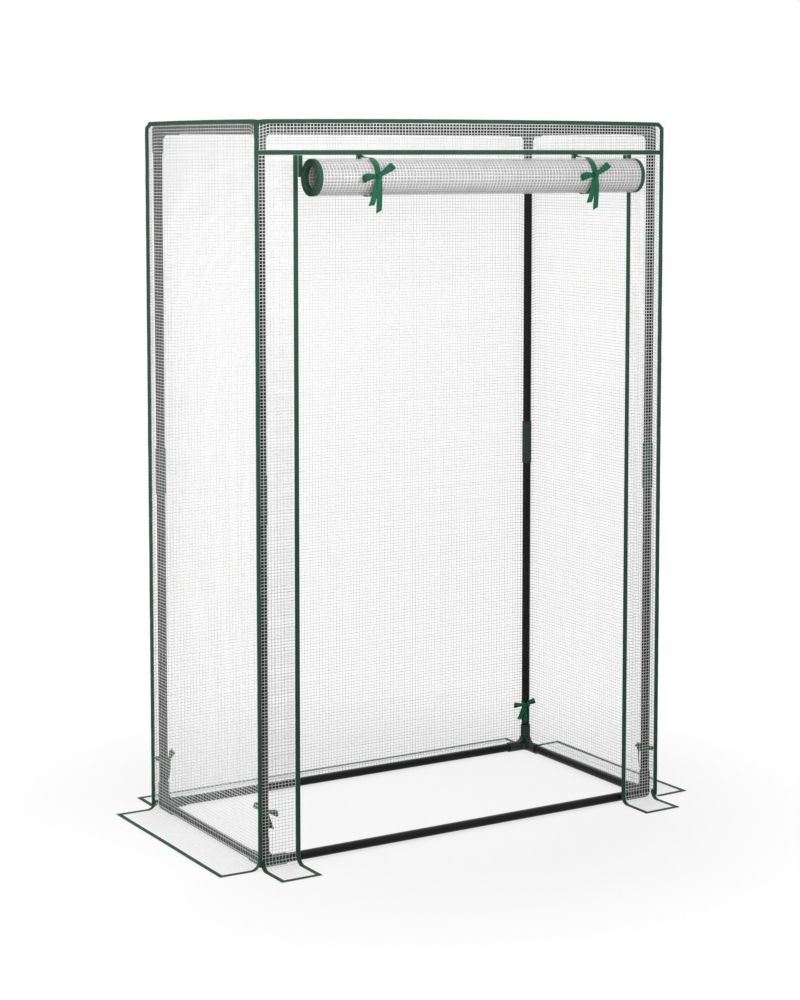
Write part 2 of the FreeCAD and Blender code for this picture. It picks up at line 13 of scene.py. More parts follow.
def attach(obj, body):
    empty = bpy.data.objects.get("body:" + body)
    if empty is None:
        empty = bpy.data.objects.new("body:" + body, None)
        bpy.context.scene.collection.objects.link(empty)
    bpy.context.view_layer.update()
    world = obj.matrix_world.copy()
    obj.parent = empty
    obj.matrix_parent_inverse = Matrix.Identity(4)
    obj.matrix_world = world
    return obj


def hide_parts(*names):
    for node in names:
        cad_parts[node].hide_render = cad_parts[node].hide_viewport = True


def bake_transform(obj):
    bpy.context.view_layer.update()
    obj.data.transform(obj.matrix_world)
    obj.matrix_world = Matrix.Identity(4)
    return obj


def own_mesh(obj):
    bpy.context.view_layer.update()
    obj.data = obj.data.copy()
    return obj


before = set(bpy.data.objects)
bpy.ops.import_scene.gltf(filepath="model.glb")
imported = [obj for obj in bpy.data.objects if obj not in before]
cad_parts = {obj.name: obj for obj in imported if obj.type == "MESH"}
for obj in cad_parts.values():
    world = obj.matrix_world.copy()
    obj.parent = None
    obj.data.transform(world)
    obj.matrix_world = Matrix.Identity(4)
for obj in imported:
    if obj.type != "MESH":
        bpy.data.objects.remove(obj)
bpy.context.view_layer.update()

# The cover's film, at the middle of its thickness.
WALL_X = 0.49675
WALL_Y = 0.25175
ROOF_Z = 1.50055
LONG_BOW = 0.0028
SHORT_BOW = 0.001
ROOF_SAG = 0.005
GROUND = 0.0008
FOLD_R = 0.01825
FOLD_Z = GROUND + FOLD_R
REACH = 0.0912
JAMB_X = 0.405
HEADER_Z = 1.435
DOOR_X = 0.3995
STRIP_X = 0.4045
ROLL_Y = -0.2891
ROLL_Z = 1.391
ROLL_R = 0.0373
ROLL_PITCH = 0.002
ROLL_TURNS = 7.5

# Net, tape, seam and ribbon.
NET_ACROSS = 0.0076
NET_ALONG = 0.00665
YARN = 0.00122
YARN_CROWN = 0.0002
YARN_REACH = 0.9996
YARN_WANDER = 0.05
YARN_WIDTHS = (0.85, 1.15)
FILM_INSET = 1e-5
FILM_TONE = (0.93, 0.945, 0.94, 1.0)
TAPE = 0.01
TAPE_THICK = 0.0013
TAPE_ROUNDING = 0.45
TAPE_EASE = 0.0003
TAPE_END = 0.0002
JAMB_TAPE = 0.011
JAMB_TAPE_END = 0.0042
HEADER_TAPE_END = 0.002
STRIP_TAPE_END = 0.0035
SEAM_R = 0.0043
SEAM_OUT = 0.0012
SEAM_UNEVEN = 0.0012
SEAM_LUMPS = 45.0
CORNER_BEND = 0.01
STITCH_PITCH = 0.0045
STITCH_LENGTH = 0.0031
STITCH_THICK = 0.0006
STITCH_INSET = 0.0016
STITCH_ROW = SEAM_R * 0.98
TWILL = 0.0011
RIBBON = 0.0125
TIE_RIBBON = 0.0102
RIBBON_THICK = 0.0004
RIBBON_WARP = 0.0006
RIBBON_WEFT = 0.0009
RIBBON_RIB = 0.0046

# Long yarns lie on the film and cross yarns over them; on the roll they are flatter.
LONG_YARN_LIFT = 0.00012
CROSS_YARN_LIFT = 0.0003
ROLL_YARN_CROWN = 0.0001

# Slack in the panels, ripples in the hems, and how uneven the roll is.
SLACK_WAVES = 7
WALL_SLACK = 0.002
JAMB_SLACK = 0.0012
HEADER_SLACK = 0.0006
HEM_RIPPLE = 0.0004
HEM_LIFT = 0.0008
ROLL_SHIFT = 0.0014
ROLL_OVAL = 0.008
ROLL_WAVE = 0.006

# Film tucked behind the header, and the stretch of a hem that bends when it folds up.
JAMB_TUCK = 0.004
STRIP_TUCK = 0.003
STRIP_BEHIND = 0.0002
BEND_FROM = FOLD_R - 0.002
BEND_TO = FOLD_R + 0.0045
BEND_Z = 0.0016

# Steps of the panels' meshes and of the seams.
FILM_STEP = 0.02
CORNER_STEP = 0.002
NET_STEP = 0.03
ROLL_NET_STEP = 0.005
TAPE_STEP = 0.006
HEM_STEP = 0.012
SKIRT_STEP = 0.008
BEND_STEP = 0.003
FOLD_STEP = 0.004
STRIP_STEP = 0.002
SEAM_STEP = 0.012
ROOF_SEAM_STEP = 0.02
CORNER_SEAM_STEP = 0.05

# The uprights, and where ties are: along the header, and up from the ground.
TUBE_X = 0.481
TUBE_Y = 0.236
TUBE_R = 0.0095
TIE_X = 0.265
TIE_Z = 0.112

# A door tie: two lengths from the header round the roll, as places (y, z) where they
# are sewn and angles round the roll, and the knot at the front.
TIE_AROUND = 0.0391
OVER_SEWN = ((-0.2519, 1.4405), (-0.2525, 1.4352), (-0.2605, 1.4322))
OVER_ANGLES = (-12, 8, 30, 52, 72, 88)
UNDER_SEWN = ((-0.2506, 1.4445), (-0.2503, 1.42))
UNDER_ANGLES = (0, 25, 50, 75, 100, 125, 150, 178)
DOOR_KNOT_OUT = 0.0026
DOOR_KNOT_UP = 0.002

# An upright's tie: a ring, a strap to the cover at places (x, y, z), and the knot.
RING_GAP = 0.0009
RING_RISE = 0.0006
STRAP_START_X = 0.001
STRAP_ENDS = ((0.0008, 0.014, 0.001), (0, 0.0187, 0))
UPRIGHT_KNOT_OUT = 0.0024

# Bows: loops as (length, direction from +X up, droop), tails as (length, lean), and
# the depth of the loops.
DOOR_BOW = (((0.036, 180, 0.006), (0.039, 33, 0.0)), ((0.064, 18), (0.074, -1)), 0.0078)
UPRIGHT_BOW = (((0.026, 182, 0.002), (0.028, 28, 0.0)), ((0.04, 19), (0.047, -4)), 0.005)
LOOP_FORWARD = 0.84
LOOP_UPWARD = 0.54
TAIL_WAVE = 0.003
TAIL_CURL = 0.001
TAIL_LAYER = 0.0012
TAIL_SLANT = 0.006
TAIL_CUP = 0.0006
KNOT = (0.0042, 0.0036, 0.0058)
KNOT_TWIST = 0.0006
KNOT_CUP = 0.0008

# Each corner: its side in X and in Y, and the turn of its tie.
CORNERS = {
    "front_left": (-1, -1, 0),
    "front_right": (1, -1, 90),
    "back_right": (1, 1, 180),
    "back_left": (-1, 1, 270),
}

# Each side of the cover: its direction to the right seen from outside, the way it
# faces, and how far it stands from the middle.
SIDES = {
    "front": ((1, 0), (0, -1), WALL_Y),
    "right": ((0, 1), (1, 0), WALL_X),
    "back": ((-1, 0), (0, 1), WALL_Y),
    "left": ((0, -1), (-1, 0), WALL_X),
}

# The studio: a floor whose own whiteness grows away from the house, so that near the house
# it keeps more real shadow and is painted greyer as shade, a soft world, broad suns as
# (name, direction, strength), and softboxes as (name, place, aim, width, height, power).
FLOOR_HALF = 40.0
FLOOR_GLOW = 1.05
GLOW_NEAR = 0.45
GLOW_FAR = 1.2
GLOW_LEAST = 0.68
GLOW_MOST = 0.97
WHITE = (1.0, 1.0, 1.0, 1.0)
WORLD_LIGHT = 0.22
SUN_SPREAD = 50
SUNS = (
    ("key_light", (0.42, 0.5, -0.86), 0.2),
    ("fill_light", (-0.6, 0.35, -0.5), 0.1),
    ("back_light", (-0.45, -0.55, -0.7), 0.9),
)
SOFTBOXES = (
    ("front_softbox", (-0.15, -1.05, 1.52), (0.0, -0.25, 1.45), 1.4, 0.4, 8.7),
    ("side_softbox", (-0.92, -0.1, 0.92), (-0.5, -0.05, 0.88), 0.5, 1.8, 4.1),
    ("top_softbox", (0.0, 0.1, 2.5), (0.0, 0.1, 1.5), 1.2, 0.6, 5.5),
)

CAMERA_PLACE = (-2.54, -4.1681, 1.4425)
CAMERA_TURN = -31.191
CAMERA_DOWN = 5.06
LENS = 80.849
SENSOR = 36.0
SHIFT = -0.15
CLEAR_LAYERS = 48


class Flow:
    """An output socket, whose arithmetic adds Math nodes to its tree."""

    def __init__(self, tree, node, output=0):
        self.tree = tree
        self.node = node
        self.socket = node.outputs[output] if node.outputs else None

    def output(self, name):
        return Flow(self.tree, self.node, name)

    def math(self, operation, *values):
        return self.tree.add(
            "ShaderNodeMath", {"operation": operation}, dict(enumerate(values))
        )

    def __add__(self, other):
        return self.math("ADD", self, other)

    def __radd__(self, other):
        return self.math("ADD", other, self)

    def __sub__(self, other):
        return self.math("SUBTRACT", self, other)

    def __rsub__(self, other):
        return self.math("SUBTRACT", other, self)

    def __mul__(self, other):
        return self.math("MULTIPLY", self, other)

    def __rmul__(self, other):
        return self.math("MULTIPLY", other, self)

    def __truediv__(self, other):
        return self.math("DIVIDE", self, other)

    def __mod__(self, other):
        return self.math("FLOORED_MODULO", self, other)

    def __gt__(self, other):
        return self.math("GREATER_THAN", self, other)

    def __lt__(self, other):
        return self.math("LESS_THAN", self, other)

    def __abs__(self):
        return self.math("ABSOLUTE", self)

    def floor(self):
        return self.math("FLOOR", self)

    def sine(self):
        return self.math("SINE", self)

    def root(self):
        return self.math("SQRT", self)

    def most(self, other):
        return self.math("MAXIMUM", self, other)


class Tree:
    """A node tree, with one method that adds any node to it."""

    def __init__(self, tree):
        self.tree = tree

    def add(self, kind, settings=None, inputs=None, output=0):
        node = self.tree.nodes.new(kind)
        for key, value in (settings or {}).items():
            setattr(node, key, value)
        for key, value in (inputs or {}).items():
            for one in value if isinstance(value, list) else [value]:
                if isinstance(one, Flow):
                    self.tree.links.new(one.socket, node.inputs[key])
                else:
                    node.inputs[key].default_value = one
        return Flow(self, node, output)

    def vector(self, x, y, z):
        return self.add("ShaderNodeCombineXYZ", None, {0: x, 1: y, 2: z})

    def parts(self, vector):
        split = self.add("ShaderNodeSeparateXYZ", None, {0: vector})
        return [split.output(i) for i in range(3)]


def tone(red, green, blue):
    """A colour given as display values from 0 to 255."""
    shares = [c / 255 for c in (red, green, blue)]
    light = [s / 12.92 if s <= 0.04045 else ((s + 0.055) / 1.055) ** 2.4 for s in shares]
    return (*light, 1.0)


def finish_of(name, paint):
    """A material whose surface is what paint adds to its tree."""
    made = bpy.data.materials.new(name)
    made.use_nodes = True
    made.node_tree.nodes.clear()
    tree = Tree(made.node_tree)
    tree.add("ShaderNodeOutputMaterial", None, {"Surface": paint(tree)})
    return made


def places(tree):
    """Where each point of a piece lies."""
    return tree.add("ShaderNodeTexCoord").output("Object")


def noise(tree, at, scale, detail=2.0):
    """Soft noise, with about scale lumps to the metre."""
    return tree.add(
        "ShaderNodeTexNoise", None, {"Vector": at, "Scale": scale, "Detail": detail}
    )


def between(tree, share, first, second):
    """A colour between two others, by its share of the second."""
    return tree.add(
        "ShaderNodeMix", {"data_type": "RGBA"}, {0: share, 6: first, 7: second}, 2
    )


def bumps(tree, height, strength, distance):
    """Fine relief from a height, as a normal."""
    return tree.add(
        "ShaderNodeBump",
        None,
        {"Height": height, "Strength": strength, "Distance": distance},
    )


def surface_of(tree, **sockets):
    """A surface from its sockets' names, written with _ for a space."""
    inputs = {key.replace("_", " "): value for key, value in sockets.items()}
    return tree.add("ShaderNodeBsdfPrincipled", None, inputs)


def powder_coat(tree):
    """Black powder coat: fine orange peel and a little drift in gloss."""
    at = places(tree)
    peel = noise(tree, at, 1500.0)
    drift = noise(tree, at, 14.0, 4.0)
    return surface_of(
        tree,
        Base_Color=between(tree, drift, tone(8, 8, 9), tone(18, 18, 19)),
        Roughness=0.22 + 0.16 * drift,
        Specular_IOR_Level=0.16,
        Normal=bumps(tree, peel, 0.25, 0.0002),
    )


def moulded_green(tree):
    """Dark green moulded plastic with a fine spark-eroded grain."""
    at = places(tree)
    grain = noise(tree, at, 2600.0, 3.0)
    drift = noise(tree, at, 30.0, 3.0)
    return surface_of(
        tree,
        Base_Color=between(tree, drift, tone(18, 38, 31), tone(30, 50, 42)),
        Roughness=0.36 + 0.16 * drift,
        Specular_IOR_Level=0.3,
        Normal=bumps(tree, grain, 0.2, 0.0002),
    )


def clear_film(tree):
    """Thin clear film, a little milky, with soft creases."""
    at = places(tree)
    haze = noise(tree, at, 24.0, 4.0)
    crease = noise(tree, at, 9.0, 6.0)
    return surface_of(
        tree,
        Base_Color=FILM_TONE,
        Roughness=0.16 + 0.16 * haze,
        Alpha=0.01 + 0.025 * haze,
        Normal=bumps(tree, crease, 0.3, 0.004),
    )


def rolled_film_painted_shade(tree):
    """The same film where it lies rolled up, painted greyer as shade of the roll's many
    layers, with streaks of that painted shade along the roll.
    """
    x, y, z = tree.parts(places(tree))
    streak = noise(tree, tree.vector(x * 5.0, y * 90.0, z * 90.0), 1.0, 3.0)
    return surface_of(
        tree,
        # Base Color greys: painted shade of the rolled layers, varied in streaks along the
        # roll.
        Base_Color=between(tree, streak, (0.22, 0.215, 0.22, 1.0), (0.68, 0.67, 0.68, 1.0)),
        Roughness=0.2 + 0.15 * streak,
        Alpha=0.2 + 0.12 * streak,
    )


def white_yarn(tree):
    """White split-film yarn, with fine lengthwise streaks."""
    at = places(tree)
    streak = noise(tree, at, 700.0, 3.0)
    drift = noise(tree, at, 40.0, 2.0)
    return surface_of(
        tree,
        Base_Color=between(tree, drift, (0.81, 0.815, 0.815, 1.0), (0.89, 0.89, 0.89, 1.0)),
        Roughness=0.36 + 0.2 * streak,
        Alpha=0.78 + 0.12 * drift,
        Normal=bumps(tree, streak, 0.3, 0.0002),
    )


def netted_film(tree):
    """Film and net in one, for the hanging strip, which grows as the door comes down."""
    x, _, z = tree.parts(places(tree))
    upright = abs((x / NET_ACROSS) % 1.0 - 0.5) < YARN / 2 / NET_ACROSS
    level = abs((z / NET_ALONG) % 1.0 - 0.5) < YARN / 2 / NET_ALONG
    net = upright.most(level)
    haze = noise(tree, places(tree), 24.0, 4.0)
    return surface_of(
        tree,
        Base_Color=between(tree, net, FILM_TONE, (0.85, 0.855, 0.855, 1.0)),
        Roughness=0.2 + 0.25 * net,
        Alpha=0.01 + 0.025 * haze + 0.82 * net,
        Normal=bumps(tree, net, 0.4, 0.0003),
    )


def lengthwise(tree):
    """How far along its tape or ribbon a point lies, and how far across it."""
    return [
        tree.add("ShaderNodeAttribute", {"attribute_name": name}).output("Fac")
        for name in ("along", "across")
    ]


def woven_tape(tree):
    """Muted green binding: a fine twill with a plain selvedge."""
    along, across = lengthwise(tree)
    turn = 2 * math.pi / TWILL
    twill = ((along + across) * turn).sine()
    weft = ((along - 0.6 * across) * (1.7 * turn)).sine()
    cloth = 0.5 + 0.3 * twill + 0.2 * weft
    drift = noise(tree, places(tree), 55.0, 4.0)
    green = between(tree, cloth, tone(35, 69, 57), tone(51, 87, 72))
    worn = between(tree, drift * 0.3, green, tone(60, 98, 84))
    return surface_of(
        tree,
        Base_Color=worn,
        Roughness=0.55 + 0.2 * drift,
        Specular_IOR_Level=0.12,
        Normal=bumps(tree, cloth, 0.5, 0.0003),
    )


def satin_ribbon(tree):
    """Bright emerald ribbon: fine warp lines, ribbed edges and a satin sheen."""
    along, across = lengthwise(tree)
    warp = (across * (2 * math.pi / RIBBON_WARP)).sine()
    weft = (along * (2 * math.pi / RIBBON_WEFT)).sine()
    edge = abs(across) > RIBBON_RIB
    cloth = 0.5 + 0.25 * warp + 0.15 * weft + 0.3 * edge
    drift = noise(tree, places(tree), 70.0, 3.0)
    green = between(tree, cloth, tone(2, 70, 49), tone(9, 89, 63))
    return surface_of(
        tree,
        Base_Color=between(tree, drift * 0.4, green, tone(14, 97, 69)),
        Roughness=0.38 + 0.16 * drift,
        Specular_IOR_Level=0.2,
        Normal=bumps(tree, cloth, 0.4, 0.0002),
    )


def sewing_thread(tree):
    """Green sewing thread, a shade lighter than the tape."""
    ply = noise(tree, places(tree), 900.0, 2.0)
    return surface_of(
        tree,
        Base_Color=between(tree, ply, tone(48, 84, 70), tone(66, 104, 88)),
        Roughness=0.5 + 0.2 * ply,
        Specular_IOR_Level=0.2,
    )


BLACK_TUBE = finish_of("black_powder_coat", powder_coat)
GREEN_PLASTIC = finish_of("green_moulded_plastic", moulded_green)
FILM = finish_of("clear_cover_film", clear_film)
ROLL_FILM_PAINTED_SHADE = finish_of("rolled_cover_film", rolled_film_painted_shade)
NET = finish_of("white_net_yarn", white_yarn)
NETTED = finish_of("netted_film", netted_film)
BINDING = finish_of("green_binding_tape", woven_tape)
SATIN = finish_of("emerald_ribbon", satin_ribbon)
THREAD = finish_of("green_thread", sewing_thread)


class Recipe(Tree):
    """A geometry tree with named inputs, run on a new piece and kept as its mesh."""

    def __init__(self, name, **inputs):
        super().__init__(bpy.data.node_groups.new(name, "GeometryNodeTree"))
        sockets = self.tree.interface
        for way in ("INPUT", "OUTPUT"):
            sockets.new_socket(
                "Geometry", in_out=way, socket_type="NodeSocketGeometry"
            )
        for title, kind in inputs.items():
            sockets.new_socket(title, in_out="INPUT", socket_type="NodeSocket" + kind)
        self.given = self.tree.nodes.new("NodeGroupInput")

    def input(self, title):
        return Flow(self, self.given, title)

    def end(self, geometry):
        self.add("NodeGroupOutput", None, {"Geometry": geometry})

    def scaled(self, vector, factor):
        return self.add(
            "ShaderNodeVectorMath",
            {"operation": "SCALE"},
            {0: vector, "Scale": factor},
        )

    def pair(self, operation, first, second):
        return self.add(
            "ShaderNodeVectorMath", {"operation": operation}, {0: first, 1: second}
        )

    def added(self, first, second):
        return self.pair("ADD", first, second)

    def moved(self, geometry, offset):
        return self.add(
            "GeometryNodeSetPosition", None, {"Geometry": geometry, "Offset": offset}
        )

    def painted(self, geometry, material):
        smooth = self.add("GeometryNodeSetShadeSmooth", None, {"Geometry": geometry})
        return self.add(
            "GeometryNodeSetMaterial",
            None,
            {"Geometry": smooth, "Material": material},
        )

    def noted(self, geometry, name, value):
        """Keeps a number on every point, for the finish to read."""
        return self.add(
            "GeometryNodeStoreNamedAttribute",
            {"data_type": "FLOAT", "domain": "POINT"},
            {"Geometry": geometry, "Name": name, "Value": value},
        )

    def realized(self, geometry):
        return self.add("GeometryNodeRealizeInstances", None, {"Geometry": geometry})

    def joined(self, pieces):
        return self.add("GeometryNodeJoinGeometry", None, {"Geometry": pieces})

    def random(self, low, high, seed):
        return self.add(
            "FunctionNodeRandomValue",
            {"data_type": "FLOAT"},
            {2: low, 3: high, 8: seed},
            1,
        )

    def laid_on_film(self, geometry):
        """Takes what is drawn flat, with its height in Z, to the film's own surface."""
        film = self.add(
            "GeometryNodeObjectInfo", None, {"Object": self.input("Film")}
        ).output("Geometry")
        drawn = self.add("GeometryNodeInputPosition")
        flat = self.add(
            "GeometryNodeInputNamedAttribute",
            {"data_type": "FLOAT_VECTOR"},
            {"Name": "flat"},
        )
        extent = self.add(
            "GeometryNodeAttributeStatistic",
            {"data_type": "FLOAT_VECTOR", "domain": "CORNER"},
            {"Geometry": film, "Attribute": flat},
        )
        low = self.added(extent.output("Min"), (FILM_INSET, FILM_INSET, 0.0))
        high = self.added(extent.output("Max"), (-FILM_INSET, -FILM_INSET, 0.0))
        spot = self.pair("MINIMUM", self.pair("MAXIMUM", drawn, low), high)
        found = [
            self.add(
                "GeometryNodeSampleUVSurface",
                {"data_type": "FLOAT_VECTOR"},
                {0: film, 1: self.add(kind), 2: flat, 3: spot},
            )
            for kind in ("GeometryNodeInputPosition", "GeometryNodeInputNormal")
        ]
        raised = self.scaled(found[1], self.parts(drawn)[2])
        return self.add(
            "GeometryNodeSetPosition",
            None,
            {"Geometry": geometry, "Position": self.added(found[0], raised)},
        )

    def stitches(self, path, offset):
        """A row of sewn stitches beside a path."""
        row = self.moved(path, offset)
        spots = self.add(
            "GeometryNodeCurveToPoints",
            {"mode": "LENGTH"},
            {"Curve": row, "Length": self.input("Stitch_pitch")},
        )
        ball = self.add(
            "GeometryNodeMeshIcoSphere", None, {"Radius": 0.5, "Subdivisions": 1}
        )
        thick = self.input("Stitch_thick")
        stitch = self.add(
            "GeometryNodeTransform",
            None,
            {
                "Geometry": ball,
                "Scale": self.vector(thick, thick, self.input("Stitch_length")),
            },
        )
        row = self.add(
            "GeometryNodeInstanceOnPoints",
            None,
            {
                "Points": spots,
                "Instance": stitch,
                "Rotation": spots.output("Rotation"),
            },
        )
        return self.painted(self.realized(row), self.input("Thread"))

    def path(self):
        """The piece's own line as a curve, in even steps, with its length noted."""
        line = self.add(
            "GeometryNodeMeshToCurve", None, {"Mesh": self.input("Geometry")}
        )
        even = self.add(
            "GeometryNodeResampleCurve",
            {"mode": "LENGTH"},
            {"Curve": line, "Length": self.input("Step")},
        )
        length = self.add("GeometryNodeSplineParameter").output("Length")
        return self.noted(even, "along", length)

    def swept(self, path, profile):
        """A profile drawn along a path, with the place across it noted."""
        across = self.parts(self.add("GeometryNodeInputPosition"))[0]
        return self.add(
            "GeometryNodeCurveToMesh",
            None,
            {
                "Curve": path,
                "Profile Curve": self.noted(profile, "across", across),
                "Fill Caps": True,
            },
        )

    def run(self, name, line=None, **values):
        """A finished piece; line gives points and edges to a recipe that needs them."""
        mesh = bpy.data.meshes.new(name)
        if line is not None:
            mesh.from_pydata(*line, [])
        piece = shown(name, mesh)
        modifier = piece.modifiers.new("recipe", "NODES")
        modifier.node_group = self.tree
        for item in self.tree.interface.items_tree:
            if item.in_out == "INPUT" and item.name in values:
                modifier[item.identifier] = values[item.name]
        settle(piece)
        return piece


def shown(name, mesh):
    """A piece made of a mesh and put into the scene."""
    piece = bpy.data.objects.new(name, mesh)
    bpy.context.collection.objects.link(piece)
    return piece


def settle(piece):
    """Turns a piece with modifiers into its plain final mesh."""
    graph = bpy.context.evaluated_depsgraph_get()
    made = bpy.data.meshes.new_from_object(
        piece.evaluated_get(graph), preserve_all_data_layers=True, depsgraph=graph
    )
    piece.modifiers.clear()
    piece.data = made
    made.name = piece.name


def yarns(r, long):
    """The yarns of one way: the long ones, or those that cross them."""

    def flat(across, along):
        return (across, along) if long else (along, across)

    span, run = flat(r.input("Width"), r.input("Length"))
    pitch = r.input("Pitch_across" if long else "Pitch_along")
    step = r.input("Long_step" if long else "Cross_step")
    yarn = r.input("Yarn")
    rows = (span / pitch).floor()
    first = (span - (rows - 1) * pitch) / 2
    line = r.add(
        "GeometryNodeMeshLine",
        {"mode": "OFFSET"},
        {
            "Count": rows,
            "Start Location": r.vector(*flat(first, run / 2), 0.0),
            "Offset": r.vector(*flat(pitch, 0.0), 0.0),
        },
    )
    wander = pitch * r.random(-YARN_WANDER, YARN_WANDER, r.input("Seed"))
    line = r.moved(line, r.vector(*flat(wander, 0.0), 0.0))
    sizes = flat(yarn, run * YARN_REACH)
    joints = flat(3, (run / step).floor() + 2)
    strip = r.add(
        "GeometryNodeMeshGrid",
        None,
        {
            "Size X": sizes[0],
            "Size Y": sizes[1],
            "Vertices X": joints[0],
            "Vertices Y": joints[1],
        },
    )
    x, y, _ = r.parts(r.add("GeometryNodeInputPosition"))
    side = flat(x, y)[0] * 2 / yarn
    lift = LONG_YARN_LIFT if long else CROSS_YARN_LIFT
    crown = r.input("Crown") * (1 - side * side) + lift
    strip = r.moved(strip, r.vector(0.0, 0.0, crown))
    width = r.random(*YARN_WIDTHS, r.input("Seed") + 7)
    laid = r.add(
        "GeometryNodeInstanceOnPoints",
        None,
        {
            "Points": line,
            "Instance": strip,
            "Scale": r.vector(*flat(width, 1.0), 1.0),
        },
    )
    return r.realized(laid)


def net_recipe():
    """Yarns both ways over a film, each a low crowned strip, a little uneven."""
    r = Recipe(
        "yarn_net",
        Film="Object",
        Width="Float",
        Length="Float",
        Pitch_across="Float",
        Pitch_along="Float",
        Yarn="Float",
        Crown="Float",
        Long_step="Float",
        Cross_step="Float",
        Seed="Int",
        Finish="Material",
    )
    ways = [yarns(r, long) for long in (True, False)]
    r.end(r.painted(r.laid_on_film(r.joined(ways)), r.input("Finish")))
    return r


def tape_recipe():
    """Binding tape over a film's edge, sewn down along both its sides."""
    r = Recipe(
        "edge_tape",
        Film="Object",
        Width="Float",
        Thick="Float",
        Step="Float",
        Stitch_pitch="Float",
        Stitch_length="Float",
        Stitch_thick="Float",
        Inset="Float",
        Tape="Material",
        Thread="Material",
    )
    path = r.path()
    thick = r.input("Thick")
    band = r.add(
        "GeometryNodeCurvePrimitiveQuadrilateral",
        {"mode": "RECTANGLE"},
        {"Width": r.input("Width"), "Height": thick},
    )
    band = r.add(
        "GeometryNodeFilletCurve",
        {"mode": "POLY"},
        {"Curve": band, "Count": 2, "Radius": thick * TAPE_ROUNDING},
    )
    pieces = [r.painted(r.swept(path, band), r.input("Tape"))]
    beside = r.input("Width") / 2 - r.input("Inset")
    for side in (-1.0, 1.0):
        across = r.scaled(r.add("GeometryNodeInputNormal"), beside * side)
        pieces.append(
            r.stitches(path, r.added(across, r.vector(0.0, 0.0, thick / 2)))
        )
    r.end(r.laid_on_film(r.joined(pieces)))
    return r


def seam_recipe():
    """A seam bound into a round bead, with a row of stitches on each outer face."""
    r = Recipe(
        "seam_bead",
        Radius="Float",
        Step="Float",
        Stitch_pitch="Float",
        Stitch_length="Float",
        Stitch_thick="Float",
        First_row="Vector",
        Second_row="Vector",
        Tape="Material",
        Thread="Material",
    )
    path = r.path()
    radius = r.input("Radius")
    ring = r.add(
        "GeometryNodeCurvePrimitiveCircle", None, {"Resolution": 14, "Radius": radius}
    )
    body = r.swept(path, ring)
    at = r.add("GeometryNodeInputPosition")
    rough = r.add(
        "ShaderNodeTexNoise",
        None,
        {"Vector": at, "Scale": SEAM_LUMPS, "Detail": 1.0},
        1,
    )
    uneven = r.scaled(r.added(rough, (-0.5, -0.5, -0.5)), SEAM_UNEVEN)
    pieces = [r.painted(r.moved(body, uneven), r.input("Tape"))]
    normal = r.add("GeometryNodeInputNormal")
    side = r.pair("CROSS_PRODUCT", r.add("GeometryNodeInputTangent"), normal)
    for title in ("First_row", "Second_row"):
        along_normal, along_side, _ = r.parts(r.input(title))
        offset = r.added(r.scaled(normal, along_normal), r.scaled(side, along_side))
        pieces.append(r.stitches(path, offset))
    r.end(r.joined(pieces))
    return r


NET_RECIPE = net_recipe()
TAPE_RECIPE = tape_recipe()
SEAM_RECIPE = seam_recipe()


def steps(start, end, size):
    """Even steps from start to end, near a given size."""
    return np.linspace(start, end, max(2, round(abs(end - start) / size) + 1))


def edged(start, end, size):
    """Steps that are finer by both ends, where the roof edge bends down."""
    near, far = start + CORNER_BEND, end - CORNER_BEND
    first = steps(start, near, CORNER_STEP)[:-1]
    last = steps(far, end, CORNER_STEP)[1:]
    return np.concatenate([first, steps(near, far, size), last])


def on_side(side, s, out, z):
    """A point s to the right along a side, out from its film, at height z."""
    (ax, ay), (ox, oy), away = SIDES[side]
    d = away + out
    return np.stack([ax * s + ox * d, ay * s + oy * d, z + 0 * s], axis=-1)


def corner_dip(away):
    """How far the roof edge has come down, that far away from a corner."""
    c = CORNER_BEND - np.clip(away, 0, CORNER_BEND)
    return CORNER_BEND - np.sqrt(CORNER_BEND**2 - c**2)


def roof_height(x, y):
    """Height of the roof before it sags, bowed up between its corners."""
    away = np.hypot(WALL_X - np.abs(x), WALL_Y - np.abs(y))
    bow = LONG_BOW * (1 - (x / WALL_X) ** 2) + SHORT_BOW * (1 - (y / WALL_Y) ** 2)
    return ROOF_Z + bow - corner_dip(away)


def top_edge(side, s):
    """Height of the roof seam, which bows up a little between the corners."""
    half, bow = (WALL_X, LONG_BOW) if side in ("front", "back") else (WALL_Y, SHORT_BOW)
    return ROOF_Z + bow * (1 - (s / half) ** 2) - corner_dip(half - np.abs(s))


def billow(u, v, width, length, depth, seed):
    """Slack in a stretched panel: slow waves that die out at its edges."""
    chance = np.random.default_rng(seed)
    rim = (1 - (2 * u / width - 1) ** 4) * (1 - (2 * v / length - 1) ** 6)
    waves = 0
    for _ in range(SLACK_WAVES):
        du, dv = chance.uniform(-14, 14), chance.uniform(-6, 6)
        waves = waves + np.sin(du * u + dv * v + chance.uniform(0, 2 * math.pi))
    return depth * rim * waves / 3


def film_sheet(name, u, v, surface, material=None):
    """A sheet of film; surface gives its points for flat places u across, v along."""
    across, along = np.meshgrid(u, v)
    cols, rows = len(u), len(v)
    first = (np.arange(rows - 1)[:, None] * cols + np.arange(cols - 1)).ravel()
    quads = np.stack([first, first + 1, first + cols + 1, first + cols], axis=1)
    mesh = bpy.data.meshes.new(name)
    mesh.from_pydata(surface(across, along).reshape(-1, 3).tolist(), [], quads.tolist())
    flat = np.stack([across.ravel(), along.ravel()], axis=1)[quads.ravel()]
    layer = mesh.uv_layers.new(name="flat")
    layer.data.foreach_set("uv", flat.astype(np.float32).ravel())
    mesh.polygons.foreach_set("use_smooth", [True] * len(quads))
    mesh.materials.append(material or FILM)
    return shown(name, mesh)


